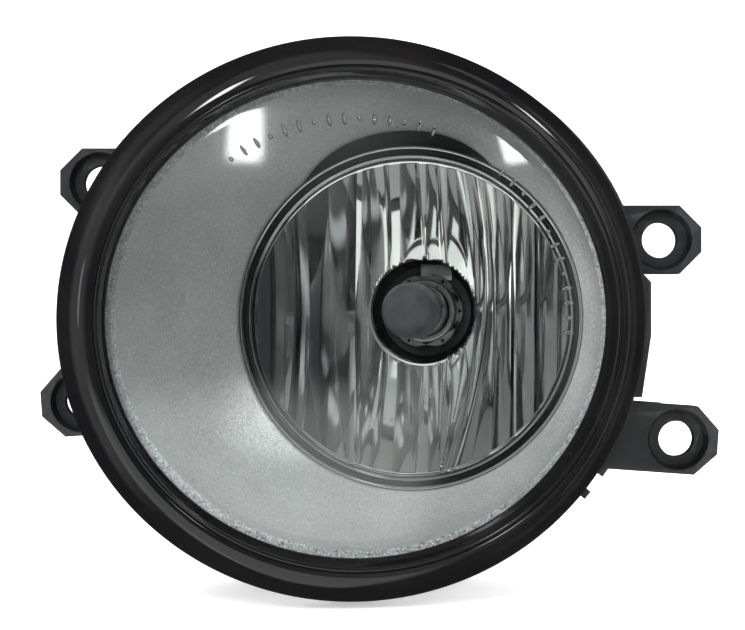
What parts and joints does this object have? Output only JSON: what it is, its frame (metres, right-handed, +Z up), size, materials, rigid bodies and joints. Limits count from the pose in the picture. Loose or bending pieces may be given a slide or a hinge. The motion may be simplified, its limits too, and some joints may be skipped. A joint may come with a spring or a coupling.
{
  "type": "fog light",
  "caption": "Round sealed fog light with an oval gloss bezel, domed lens, fluted reflector and twist-in bulb, tilting in an eared bracket by an aiming screw.",
  "frame": {"origin": "middle of the four ear bores, on the front plane of the ears", "axes": "+X to the right seen from the front, +Z up, the lamp shines towards -Y"},
  "size_m": [0.1427, 0.0834, 0.1108],
  "materials": {
    "bracket_plastic": "fine grained moulding",
    "housing_plastic": "satin moulding",
    "bezel_gloss": "polished piano black",
    "lens_glass": "clear pressed glass",
    "sealant": "cured sealant",
    "trim_metallised": "satin metallised with a fine sparkle",
    "reflector_mirror": "vacuum metallised mirror",
    "zinc_steel": "zinc plated",
    "nylon": "natural nylon",
    "vent_rubber": "moulded rubber",
    "bulb_plastic": "glass filled plastic",
    "seal_rubber": "silicone rubber",
    "terminal_brass": "tin plated brass",
    "collar_steel": "stamped stainless steel",
    "bulb_glass": "clear quartz glass",
    "cap_coating": "baked light-proof coating",
    "tungsten": "drawn tungsten wire",
    "support_wire": "molybdenum wire"
  },
  "bodies": {
    "bracket": {"mounting_bracket": "bracket_plastic", "pivot_screws": "zinc_steel", "aim_grommet": "nylon"},
    "aim_screw": {"aim_screw": "zinc_steel", "aim_screw_clip": "zinc_steel"},
    "lamp": {"housing": "housing_plastic", "front_bezel": "bezel_gloss", "lens": "lens_glass", "lens_sealant": "sealant", "inner_trim": "trim_metallised", "reflector": "reflector_mirror", "reflector_screws": "zinc_steel", "vent_cap": "vent_rubber"},
    "aim_nut": {"aim_nut": "nylon"},
    "bulb": {"bulb_base": "bulb_plastic", "bulb_seal": "seal_rubber", "bulb_terminals": "terminal_brass", "bulb_collar": "collar_steel", "bulb_envelope": "bulb_glass", "bulb_black_cap": "cap_coating", "filament": "tungsten", "filament_supports": "support_wire"}
  },
  "joints": [
    {"name": "aim_tilt", "type": "hinge", "parent": "bracket", "child": "lamp", "pos_m": [0, 0.004, 0], "axis": [1, 0, 0], "range_deg": [-4, 4]},
    {"name": "aim_screw_turn", "type": "hinge", "parent": "bracket", "child": "aim_screw", "pos_m": [0.029, 0.014, -0.029], "axis": [0, 1, 0], "range_deg": [-490, 490]},
    {"name": "aim_nut_swivel", "type": "hinge", "parent": "lamp", "child": "aim_nut", "pos_m": [0.029, 0.004, -0.029], "axis": [1, 0, 0], "range_deg": [-4.5, 4.5]},
    {"name": "bulb_twist", "type": "hinge", "parent": "lamp", "child": "bulb", "pos_m": [0.01, 0.01, 0.001], "axis": [0.1219, 0.9925, 0], "range_deg": [0, 40]}
  ],
  "couplings": [
    {"joint": "aim_screw_turn", "follows": "aim_tilt", "ratio": -121.47},
    {"joint": "aim_nut_swivel", "follows": "aim_tilt", "ratio": -1}
  ]
}
